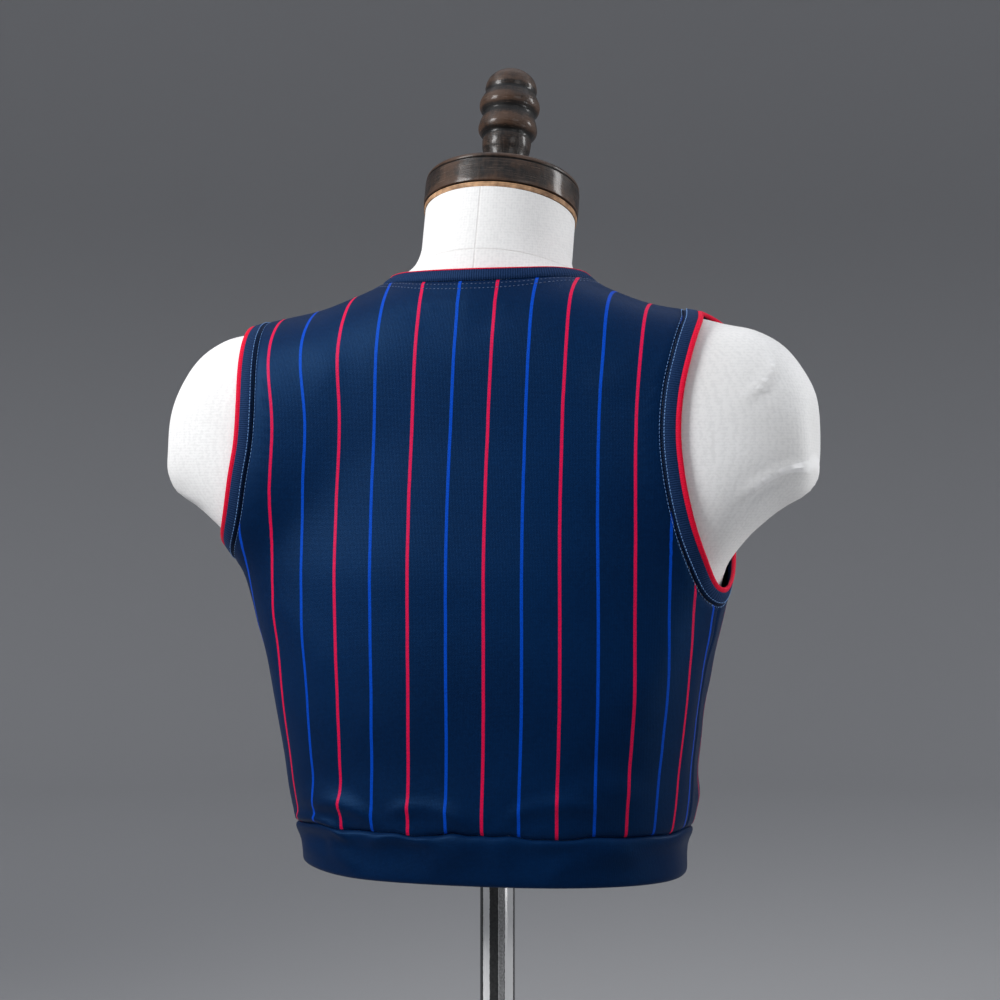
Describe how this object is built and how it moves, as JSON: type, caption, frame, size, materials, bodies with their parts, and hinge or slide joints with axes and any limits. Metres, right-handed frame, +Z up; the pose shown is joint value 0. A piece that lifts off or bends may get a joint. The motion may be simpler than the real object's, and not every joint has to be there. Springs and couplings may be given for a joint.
{
  "type": "cropped sleeveless football top on a limbless dress form",
  "caption": "Short sleeveless knitted football top in navy with thin red and blue upright stripes, worn by a white canvas dress form on a pole stand.",
  "frame": {"origin": "point on the floor on the pole's axis, at the middle of the base plate's underside", "axes": "+Z up along the pole, the front faces -Y and the back +Y, the wearer's left is +X"},
  "size_m": [0.4064, 0.26, 0.7176],
  "materials": {
    "navy_jersey": "matte knitted jersey",
    "navy_rib": "matte rib knit",
    "canvas": "matte woven canvas",
    "tan_board": "matte",
    "dark_wood": "semi-gloss, worn",
    "bright_metal": "polished"
  },
  "bodies": {
    "root": {"back_panel": "navy_jersey", "front_panel": "navy_jersey", "neckband": "navy_rib", "armhole_band_left": "navy_rib", "armhole_band_right": "navy_rib", "hem_band": "navy_jersey", "dress_form": "canvas", "neck_ring": "tan_board", "neck_cap": "dark_wood", "finial": "dark_wood", "pole": "bright_metal", "base_plate": "bright_metal"}
  },
  "joints": []
}
